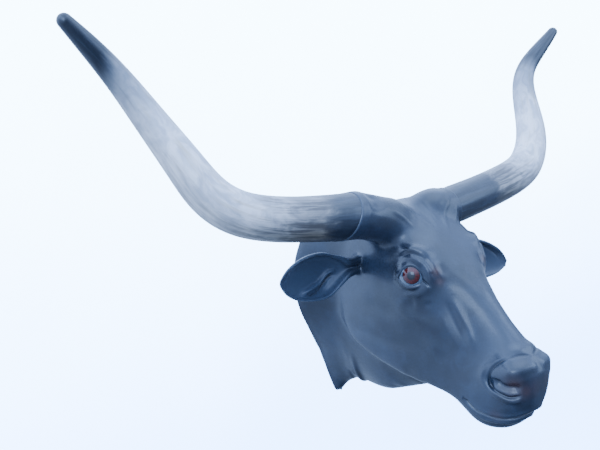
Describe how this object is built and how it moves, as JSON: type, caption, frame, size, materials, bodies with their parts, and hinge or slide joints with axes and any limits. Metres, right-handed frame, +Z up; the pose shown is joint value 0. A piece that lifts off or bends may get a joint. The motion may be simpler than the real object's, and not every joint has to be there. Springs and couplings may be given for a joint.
{
  "type": "longhorn steer head wall sculpture",
  "caption": "Life-size cast sculpture of a longhorn steer's head and short neck with long upswept horns, cut flat behind to hang on a wall.",
  "frame": {"origin": "on the flat back, in the wall plane and the plane of symmetry, behind the middle of the neck", "axes": "+X to the steer's left, along the span of the horns; +Y into the wall; +Z up; the head faces -Y"},
  "size_m": [1.6048, 0.6622, 1.0375],
  "materials": {
    "skin_paint": "satin blue-black paint over cast resin",
    "eye_glass": "polished red-brown",
    "horn_paint": "satin paint, dark root and tip with a mottled cream and grey middle",
    "back_board": "unpainted board"
  },
  "bodies": {
    "root": {"head": "skin_paint", "muzzle": "skin_paint", "lower_jaw": "skin_paint", "neck": "skin_paint", "ear_right": "skin_paint", "ear_left": "skin_paint", "eye_right": "eye_glass", "eye_left": "eye_glass", "horn_right": "horn_paint", "horn_left": "horn_paint", "back_panel": "back_board"}
  },
  "joints": []
}
